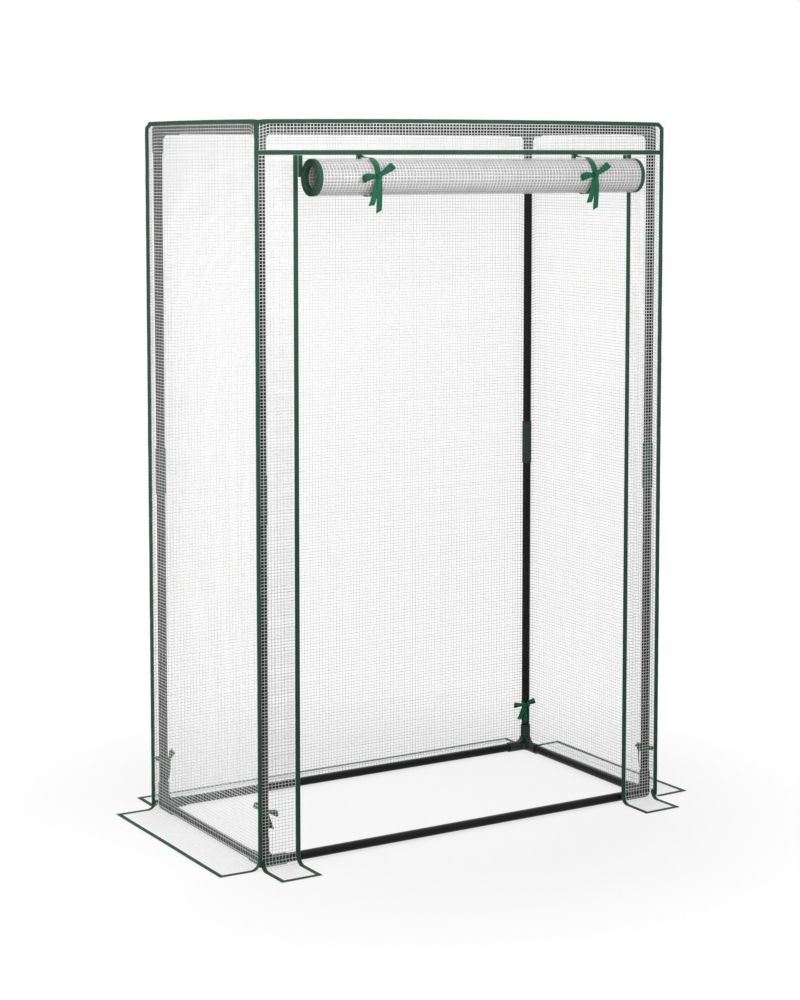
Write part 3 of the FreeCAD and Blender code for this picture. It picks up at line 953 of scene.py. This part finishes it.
def net_on(film, width, length, long_step, cross_step, seed, crown=YARN_CROWN):
    """The yarn net of a film; its steps are those along each yarn."""
    return NET_RECIPE.run(
        film.name.replace("_film", "_net"),
        Film=film,
        Width=width,
        Length=length,
        Pitch_across=NET_ACROSS,
        Pitch_along=NET_ALONG,
        Yarn=YARN,
        Crown=crown,
        Long_step=long_step,
        Cross_step=cross_step,
        Seed=seed,
        Finish=NET,
    )


def tape_on(film, runs, step=TAPE_STEP, stitch=STITCH_THICK, wide=TAPE):
    """Tape along straight runs, given as (u, v, u, v) on the flat film."""
    points = [(x, y, 0.0) for run in runs for x, y in (run[:2], run[2:])]
    edges = [(2 * i, 2 * i + 1) for i in range(len(runs))]
    return TAPE_RECIPE.run(
        film.name.replace("_film", "_binding"),
        (points, edges),
        Film=film,
        Width=wide - TAPE_EASE,
        Thick=TAPE_THICK,
        Step=step,
        Stitch_pitch=STITCH_PITCH,
        Stitch_length=STITCH_LENGTH,
        Stitch_thick=stitch,
        Inset=STITCH_INSET,
        Tape=BINDING,
        Thread=THREAD,
    )


def seam_along(name, points, first_row, second_row):
    """A bound seam on a line of points, with its two rows of stitches beside it."""
    edges = [(i, i + 1) for i in range(len(points) - 1)]
    return SEAM_RECIPE.run(
        name,
        (points, edges),
        Radius=SEAM_R,
        Step=SEAM_STEP,
        Stitch_pitch=STITCH_PITCH,
        Stitch_length=STITCH_LENGTH,
        Stitch_thick=STITCH_THICK,
        First_row=first_row,
        Second_row=second_row,
        Tape=BINDING,
        Thread=THREAD,
    )


def sewn(pieces, body=None, blend=None):
    """Lets pieces move with one body, or, for pieces given a blend, bakes their place into
    their own mesh.
    """
    for piece in pieces:
        if blend:
            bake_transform(piece)
        else:
            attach(piece, body or "greenhouse")


def wall_panel(name, side, start, end, low, high, seed, depth=WALL_SLACK):
    """A stretched panel of a wall between two places along its side."""
    width = end - start
    length = float(np.max(high(np.array([start, 0.5 * (start + end), end])))) - low

    def surface(u, v):
        s = start + u
        slack = billow(u, v, width, length, depth, seed)
        return on_side(side, s, slack, low + (high(s) - low) * v / length)

    u = edged(0, width, FILM_STEP)
    v = steps(0, length, FILM_STEP)
    film = film_sheet(name + "_film", u, v, surface)
    net = net_on(film, width, length, NET_STEP, NET_STEP, seed)
    return film, net, width, length


def hem_panel(name, side, start, end, seed):
    """The foot of a wall: its fold on to the ground and the skirt that lies outside."""
    width = end - start
    lying = REACH - FOLD_R
    length = lying + FOLD_R * math.pi / 2
    chance = np.random.default_rng(seed)
    turns = chance.uniform(9, 17, 2)
    shifts = chance.uniform(0, 6, 2)

    def surface(u, v):
        ripple = np.sin(turns[0] * u + shifts[0]) + np.sin(turns[1] * u + shifts[1])
        rise = np.clip(1 - v / lying, 0, 1) * (HEM_RIPPLE * ripple + HEM_LIFT)
        a = np.clip((v - lying) / FOLD_R, 0, math.pi / 2)
        out = np.where(v < lying, REACH - v, FOLD_R * (1 - np.sin(a)))
        z = np.where(v < lying, GROUND + rise, GROUND + FOLD_R * (1 - np.cos(a)))
        return on_side(side, start + u, out, z)

    u = steps(0, width, HEM_STEP)
    bent = steps(lying, length, BEND_STEP)[1:]
    v = np.concatenate([steps(0, lying, SKIRT_STEP), bent])
    film = film_sheet(name + "_film", u, v, surface)
    net = net_on(film, width, length, FOLD_STEP, HEM_STEP, seed)
    edge = TAPE / 2
    runs = [
        (TAPE_EASE, edge, width - TAPE_EASE, edge),
        (edge, edge, edge, length - TAPE_END),
        (width - edge, edge, width - edge, length - TAPE_END),
    ]
    binding = tape_on(film, runs, step=FOLD_STEP)
    return film, net, binding, width, length


def build_walls():
    """The three walls, the jambs beside the doorway and the header above it."""
    for seed, (side, half) in enumerate(
        (("left", WALL_Y), ("right", WALL_Y), ("back", WALL_X)), start=1
    ):
        node = side + "_wall"
        film, net, width, length = wall_panel(
            node, side, -half, half, FOLD_Z, lambda s, side=side: top_edge(side, s), seed
        )
        sewn([film, net])
        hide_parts(node)
    jamb = WALL_X - JAMB_X
    for seed, (name, start) in enumerate(
        (("left_jamb", -WALL_X), ("right_jamb", JAMB_X)), start=11
    ):
        film, net, width, length = wall_panel(
            name,
            "front",
            start,
            start + jamb,
            FOLD_Z,
            lambda s: HEADER_Z + JAMB_TUCK + 0 * s,
            seed,
            JAMB_SLACK,
        )
        edge = width - JAMB_TAPE / 2 if start < 0 else JAMB_TAPE / 2
        runs = [(edge, TAPE_END, edge, length - JAMB_TAPE_END)]
        binding = tape_on(film, runs, wide=JAMB_TAPE)
        sewn([film, net, binding])
        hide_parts(name)
        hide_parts(name + "_tape")
    film, net, width, length = wall_panel(
        "header",
        "front",
        -WALL_X,
        WALL_X,
        HEADER_Z,
        lambda s: top_edge("front", s),
        21,
        HEADER_SLACK,
    )
    edge = TAPE / 2
    runs = [(HEADER_TAPE_END, edge, width - HEADER_TAPE_END, edge)]
    binding = tape_on(film, runs)
    sewn([film, net, binding])
    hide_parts("header")
    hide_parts("header_tape")


def build_hems():
    """The five skirts, each bending at its fold."""
    rows = (
        ("left", "left", -WALL_Y, WALL_Y),
        ("right", "right", -WALL_Y, WALL_Y),
        ("back", "back", -WALL_X, WALL_X),
        ("front_left", "front", -WALL_X, -JAMB_X),
        ("front_right", "front", JAMB_X, WALL_X),
    )
    for seed, (name, side, start, end) in enumerate(rows, start=31):
        film, net, binding, width, length = hem_panel(
            name + "_hem", side, start, end, seed
        )
        node = name + "_skirt"
        bend = [
            tuple(float(c) for c in on_side(side, np.array(0.0), out, BEND_Z))
            for out in (BEND_FROM, BEND_TO)
        ]
        sewn([film, net, binding], blend=(node, *bend))
        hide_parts(node)
        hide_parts(node + "_tape")


def build_roof():
    """The roof, stretched between the top rails, with a little sag."""
    width, length = 2 * WALL_X, 2 * WALL_Y

    def surface(u, v):
        x, y = u - WALL_X, v - WALL_Y
        inside = (1 - (x / WALL_X) ** 2) * (1 - (y / WALL_Y) ** 2)
        z = roof_height(x, y) - ROOF_SAG * inside**2
        return np.stack([x, y, z], axis=-1)

    u = edged(0, width, FILM_STEP)
    v = edged(0, length, FILM_STEP)
    film = film_sheet("roof_film", u, v, surface)
    net = net_on(film, width, length, NET_STEP, NET_STEP, 41)
    sewn([film, net])
    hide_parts("roof")


def ring_points():
    """The roof seam's line, from the middle of the back edge all the way round."""
    bend = CORNER_BEND
    x, y = WALL_X - bend, WALL_Y - bend
    points = [(0.0, WALL_Y)]
    for sx, sy, start in ((-1, 1, 90), (-1, -1, 180), (1, -1, 270), (1, 1, 0)):
        for angle in range(0, 91, 15):
            a = math.radians(start + angle)
            points.append((sx * x + bend * math.cos(a), sy * y + bend * math.sin(a)))
    points.append((0.0, WALL_Y))
    full = []
    for (x0, y0), (x1, y1) in zip(points, points[1:]):
        count = max(1, round(math.hypot(x1 - x0, y1 - y0) / ROOF_SEAM_STEP))
        for i in range(count):
            full.append((x0 + (x1 - x0) * i / count, y0 + (y1 - y0) * i / count))
    full.append(points[-1])
    return [(x, y, float(roof_height(x, y))) for x, y in full]


def build_seams():
    """The seams down the corners, which bend in to meet the seam round the roof."""
    row = STITCH_ROW
    top = ROOF_Z - CORNER_BEND
    inward = CORNER_BEND * (1 - math.sqrt(0.5)) + SEAM_OUT
    joint = float(roof_height(WALL_X - inward, WALL_Y - inward))
    x, y = WALL_X + SEAM_OUT, WALL_Y + SEAM_OUT
    for name, (sx, sy, _) in CORNERS.items():
        heights = steps(2 * SEAM_R, top, CORNER_SEAM_STEP)
        points = [(sx * x, sy * y, float(z)) for z in heights]
        for angle in (22.5, 45.0, 67.5, 90.0):
            a = math.radians(angle)
            back = (inward + SEAM_OUT) * (1 - math.cos(a))
            z = top + (joint - top) * math.sin(a)
            points.append((sx * (x - back), sy * (y - back), z))
        seam = seam_along(
            name + "_seam_binding", points, (sx * row, 0.0, 0.0), (0.0, sy * row, 0.0)
        )
        sewn([seam])
        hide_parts(name + "_seam")
    seam = seam_along(
        "roof_seam_binding", ring_points(), (0.0, row, 0.0), (0.0, -row, 0.0)
    )
    sewn([seam])
    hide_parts("roof_seam")


def build_door():
    """The rolled door, and the strip from the header that it hangs on."""
    width = 2 * DOOR_X
    shrink = ROLL_PITCH / (2 * math.pi)
    last = ROLL_TURNS * 2 * math.pi
    length = ROLL_R * last - shrink * last**2 / 2

    def rolled(u, v):
        turn = (ROLL_R - np.sqrt(np.maximum(ROLL_R**2 - 2 * shrink * v, 0))) / shrink
        x = u - DOOR_X
        r = ROLL_R - shrink * turn
        oval = ROLL_OVAL * np.sin(2 * turn + 1.1 + 3 * x)
        r = r * (1 + oval + ROLL_WAVE * np.sin(9 * x))
        slip = ROLL_SHIFT * np.abs(np.sin(0.41 * turn + 0.5))
        y = ROLL_Y + r * np.cos(turn)
        z = ROLL_Z - r * np.sin(turn)
        return np.stack([x - slip * np.sign(x), y, z], axis=-1)

    u = steps(0, width, NET_STEP)
    v = steps(0, length, FOLD_STEP)
    # The roll's film takes the grey copy of the film, whose grey is painted shade.
    film = film_sheet("door_roll_film", u, v, rolled, ROLL_FILM_PAINTED_SHADE)
    net = net_on(film, width, length, ROLL_NET_STEP, NET_STEP, 51, ROLL_YARN_CROWN)
    edge = TAPE / 2
    end = length - TAPE_EASE
    runs = [(side, TAPE_EASE, side, end) for side in (edge, width - edge)]
    binding = tape_on(film, runs, step=FOLD_STEP, stitch=STITCH_THICK / 2)
    sewn([film, net, binding], "rolled_door")
    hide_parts("door_roll")
    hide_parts("door_roll_tapes")
    drop = HEADER_Z + STRIP_TUCK - ROLL_Z
    width = 2 * STRIP_X

    def hanging(u, v):
        return on_side("front", u - STRIP_X, -STRIP_BEHIND, ROLL_Z + v)

    u = steps(0, width, NET_STEP)
    v = steps(0, drop, STRIP_STEP)
    strip = film_sheet("door_strip_film", u, v, hanging, NETTED)
    end = drop - STRIP_TAPE_END
    runs = [(side, TAPE_END, side, end) for side in (edge, width - edge)]
    tapes = tape_on(strip, runs, step=STRIP_STEP)
    top = (0.0, -WALL_Y, HEADER_Z)
    foot = (0.0, -WALL_Y, ROLL_Z)
    sewn([strip, tapes], blend=("door_carriage", top, foot))
    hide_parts("door_strip")
    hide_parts("door_strip_tapes")


def gone_along(line):
    """How far along a line each of its points lies."""
    return np.concatenate([[0], np.cumsum(np.linalg.norm(np.diff(line, axis=0), axis=1))])


def smooth(points, count):
    """Even points on a soft line through a few given ones."""
    p = np.array(points, float)
    p = np.vstack([2 * p[0] - p[1], p, 2 * p[-1] - p[-2]])
    lines = []
    for i in range(1, len(p) - 2):
        t = np.linspace(0, 1, 24, endpoint=i == len(p) - 3)[:, None]
        a, b, c, d = p[i - 1 : i + 3]
        lines.append(
            0.5
            * (
                2 * b
                + (c - a) * t
                + (2 * a - 5 * b + 4 * c - d) * t**2
                + (3 * b - a - 3 * c + d) * t**3
            )
        )
    line = np.vstack(lines)
    gone = gone_along(line)
    even = np.linspace(0, gone[-1], count)
    return np.stack([np.interp(even, gone, line[:, k]) for k in range(3)], axis=1)


class Ribbon:
    """Lengths of ribbon gathered into one mesh, with places along and across noted."""

    ACROSS = np.linspace(-1, 1, 5)

    def __init__(self, wide):
        self.wide = wide
        self.points = []
        self.faces = []
        self.along = []
        self.across = []
        self.length = 0.0

    def strip(self, line, side, widths, slant=0.0, cup=0.0):
        """Ribbon on a line; side points across it and widths are shares of its own."""
        n = len(line)
        base = len(self.points)
        gone = gone_along(line)
        ahead = np.gradient(line, axis=0)
        ahead /= np.linalg.norm(ahead, axis=1)[:, None]
        side = np.broadcast_to(np.array(side, float), line.shape)
        side = side - ahead * np.sum(side * ahead, axis=1)[:, None]
        side /= np.linalg.norm(side, axis=1)[:, None]
        face = np.cross(side, ahead)
        widths = np.broadcast_to(widths, (n,))
        for i in range(n):
            for c in self.ACROSS:
                spot = line[i] + side[i] * c * widths[i] * self.wide / 2
                spot = spot + face[i] * cup * (1 - c * c)
                spot = spot - ahead[i] * slant * (c + 1) / 2 * (gone[i] / gone[-1]) ** 6
                self.points.append(spot)
                self.along.append(gone[i])
                self.across.append(c * self.wide / 2)
        k = len(self.ACROSS)
        for i in range(n - 1):
            for j in range(k - 1):
                a = base + i * k + j
                self.faces.append((a, a + 1, a + k + 1, a + k))
        self.length += float(gone[-1])

    def knot(self, at, size):
        """A pulled knot: ribbon wrapped tight round the middle of the bow."""
        t = np.linspace(0, 2 * math.pi, 25)
        twist = KNOT_TWIST * np.sin(2 * t)
        wrap = np.stack([twist, size[1] * np.cos(t), size[2] * np.sin(t)], axis=1)
        width = 2 * size[0] / self.wide
        self.strip(wrap + np.array(at), (1, 0, 0), width, 0.0, KNOT_CUP)

    def made(self, name, matrix=None):
        """The ribbon as a piece with thickness, moved to its place."""
        mesh = bpy.data.meshes.new(name)
        mesh.from_pydata([tuple(map(float, p)) for p in self.points], [], self.faces)
        for key, values in (("along", self.along), ("across", self.across)):
            note = mesh.attributes.new(key, "FLOAT", "POINT")
            note.data.foreach_set("value", np.array(values, np.float32))
        mesh.polygons.foreach_set("use_smooth", [True] * len(mesh.polygons))
        mesh.materials.append(SATIN)
        if matrix is not None:
            mesh.transform(matrix)
        piece = shown(name, mesh)
        thick = piece.modifiers.new("thickness", "SOLIDIFY")
        thick.thickness = RIBBON_THICK
        thick.offset = 0.0
        settle(piece)
        return piece


def bow(ribbon, at, loops, tails, depth):
    """A bow in the XZ plane facing -Y, with its loops, tails and knot."""
    at = np.array(at, float)
    t = np.linspace(0, 1, 29)
    hump = np.sin(math.pi * t)
    for length, angle, droop in loops:
        a = math.radians(angle)
        way = np.array([math.cos(a), 0.0, math.sin(a)])
        upper = np.array([-math.sin(a), 0.0, math.cos(a)]) * (1 if angle < 90 else -1)
        open_way = LOOP_FORWARD * np.array([0.0, -1.0, 0.0]) + LOOP_UPWARD * upper
        belly = depth * np.sin(2 * math.pi * t) * (0.3 + 0.7 * hump)
        line = at + np.outer(length * hump**0.8, way)
        line = line + np.outer(belly, open_way)
        line = line + np.outer(-droop * hump**3, (0, 0, 1))
        ribbon.strip(line, np.cross(way, open_way), 0.5 + 0.55 * hump**0.6)
    s = np.linspace(0, 1, 18)
    for i, (length, lean) in enumerate(tails):
        a = math.radians(lean)
        down = np.array([-math.sin(a), 0.0, -math.cos(a)])
        wave = TAIL_WAVE * np.sin(2.6 * s + 2.2 * i) * s
        curl = TAIL_CURL * np.sin(3.1 * s + 1.3 * i) * s
        line = at + np.outer(length * s, down) + np.outer(curl, (1, 0, 0))
        line = line + np.outer(-wave - TAIL_LAYER * i, (0, 1, 0))
        width = 0.55 + 0.45 * np.clip(s * 5, 0, 1)
        across = (math.cos(a), 0, -math.sin(a))
        ribbon.strip(line, across, width, TAIL_SLANT, TAIL_CUP)
    ribbon.knot(at, KNOT)


def round_roll(x, angle, side):
    """A point on a door tie, an angle from the roll's top or from its back."""
    b = math.radians(angle)
    if side == "over":
        return (x, ROLL_Y - TIE_AROUND * math.sin(b), ROLL_Z + TIE_AROUND * math.cos(b))
    return (x, ROLL_Y + TIE_AROUND * math.cos(b), ROLL_Z - TIE_AROUND * math.sin(b))


def door_tie(name, x):
    """Ribbon from the header, over and behind the rolled door, tied at its front."""
    ribbon = Ribbon(RIBBON)
    over = [(x, *place) for place in OVER_SEWN]
    over += [round_roll(x, angle, "over") for angle in OVER_ANGLES]
    ribbon.strip(smooth(over, 30), (1, 0, 0), 1.0)
    under = [(x, *place) for place in UNDER_SEWN]
    under += [round_roll(x, angle, "under") for angle in UNDER_ANGLES]
    ribbon.strip(smooth(under, 40), (1, 0, 0), 1.0)
    knot = (x, ROLL_Y - TIE_AROUND - DOOR_KNOT_OUT, ROLL_Z + DOOR_KNOT_UP)
    bow(ribbon, knot, *DOOR_BOW)
    piece = ribbon.made(name + "_ribbon")
    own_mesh(piece)
    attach(piece, "greenhouse")
    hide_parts(name)


def upright_ties():
    """Ribbons that tie the cover to the uprights, with their bows inside the house."""
    around = TUBE_R + RING_GAP
    t = np.linspace(-math.pi / 2, 1.5 * math.pi, 33)
    ring = np.stack([around * np.cos(t), around * np.sin(t), RING_RISE * t], axis=1)
    strap = smooth([(STRAP_START_X, around, 0), *STRAP_ENDS], 8)
    for name, (sx, sy, turn) in CORNERS.items():
        ribbon = Ribbon(TIE_RIBBON)
        ribbon.strip(ring, (0, 0, 1), 1.0)
        ribbon.strip(strap, (0, 0, 1), 1.0)
        bow(ribbon, (0.0, -around - UPRIGHT_KNOT_OUT, 0.0), *UPRIGHT_BOW)
        place = Matrix.Translation((sx * TUBE_X, sy * TUBE_Y, TIE_Z))
        place = place @ Matrix.Rotation(math.radians(turn + 135), 4, "Z")
        piece = ribbon.made(name + "_upright_ribbon", place)
        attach(piece, "greenhouse")
        if name == "front_left":
            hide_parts("upright_ties")


def dress_frame():
    """Gives the tubes, connectors and couplers their finishes."""
    for name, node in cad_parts.items():
        if name.endswith(("_rail", "_upright")):
            node.data.materials.clear()
            node.data.materials.append(BLACK_TUBE)
        elif name.endswith(("_connector", "_coupler")):
            node.data.materials.clear()
            node.data.materials.append(GREEN_PLASTIC)


def seen_by_camera(tree):
    """1 for what the camera sees directly, in a gloss or through a clear piece."""
    path = tree.add("ShaderNodeLightPath")
    camera = path.output("Is Camera Ray")
    gloss = path.output("Is Glossy Ray")
    return camera.most(gloss).most(path.output("Is Transmission Ray"))


def pale_floor(tree):
    """A pale matt floor, with whiteness of its own that only the camera sees; that
    whiteness is weaker near the house, which keeps more of the real shadow there and also
    paints a grey shade round the house.
    """
    floor = surface_of(
        tree, Base_Color=(0.9, 0.9, 0.9, 1.0), Roughness=0.9, Specular_IOR_Level=0.0
    )
    glow = tree.add("ShaderNodeEmission", None, {"Strength": FLOOR_GLOW})
    x, y, _ = tree.parts(places(tree))
    # Least own whiteness near the house: painted shade round it, on top of the real shadow
    # it lets through.
    away = tree.add(
        "ShaderNodeMapRange",
        {"interpolation_type": "SMOOTHSTEP"},
        {0: (x * x + y * y).root(), 1: GLOW_NEAR, 2: GLOW_FAR, 3: GLOW_LEAST, 4: GLOW_MOST},
    )
    share = away * seen_by_camera(tree)
    return tree.add("ShaderNodeMixShader", None, {0: share, 1: floor, 2: glow})


def aimed_lamp(light, way):
    """A lamp in the scene that shines along a direction."""
    lamp = bpy.data.objects.new(light.name, light)
    lamp.rotation_euler = Vector(way).to_track_quat("-Z", "Y").to_euler()
    bpy.context.collection.objects.link(lamp)
    return lamp


def build_studio():
    """A pale floor, a soft white surround and the lights."""
    mesh = bpy.data.meshes.new("studio_floor")
    r = FLOOR_HALF
    mesh.from_pydata(
        [(-r, -r, 0), (r, -r, 0), (r, r, 0), (-r, r, 0)], [], [(0, 1, 2, 3)]
    )
    mesh.materials.append(finish_of("pale_floor", pale_floor))
    floor = shown("studio_floor", mesh)

    world = bpy.data.worlds.new("soft_studio")
    world.use_nodes = True
    world.node_tree.nodes.clear()
    tree = Tree(world.node_tree)
    soft, white = (
        tree.add("ShaderNodeBackground", None, {"Color": WHITE, "Strength": strength})
        for strength in (WORLD_LIGHT, 1.0)
    )
    mixed = tree.add(
        "ShaderNodeMixShader", None, {0: seen_by_camera(tree), 1: soft, 2: white}
    )
    tree.add("ShaderNodeOutputWorld", None, {"Surface": mixed})
    bpy.context.scene.world = world

    for name, way, strength in SUNS:
        light = bpy.data.lights.new(name, "SUN")
        light.energy = strength
        light.angle = math.radians(SUN_SPREAD)
        aimed_lamp(light, way)
    for name, place, aim, wide, high, power in SOFTBOXES:
        light = bpy.data.lights.new(name, "AREA")
        light.energy = power
        light.shape = "RECTANGLE"
        light.size = wide
        light.size_y = high
        lamp = aimed_lamp(light, Vector(aim) - Vector(place))
        lamp.location = place
        lamp.visible_camera = False


def build_camera():
    """The view of the house from its left front corner."""
    data = bpy.data.cameras.new("camera")
    data.lens = LENS
    data.sensor_width = SENSOR
    data.shift_y = SHIFT
    data.clip_end = 200.0
    camera = bpy.data.objects.new("camera", data)
    camera.location = CAMERA_PLACE
    camera.rotation_euler = (
        math.radians(90 - CAMERA_DOWN),
        0.0,
        math.radians(CAMERA_TURN),
    )
    bpy.context.collection.objects.link(camera)
    scene = bpy.context.scene
    scene.camera = camera
    scene.view_settings.view_transform = "Standard"
    scene.cycles.transparent_max_bounces = CLEAR_LAYERS


dress_frame()
build_walls()
build_hems()
build_roof()
build_seams()
build_door()
door_tie("left_door_tie", -TIE_X)
door_tie("right_door_tie", TIE_X)
upright_ties()
build_studio()
build_camera()
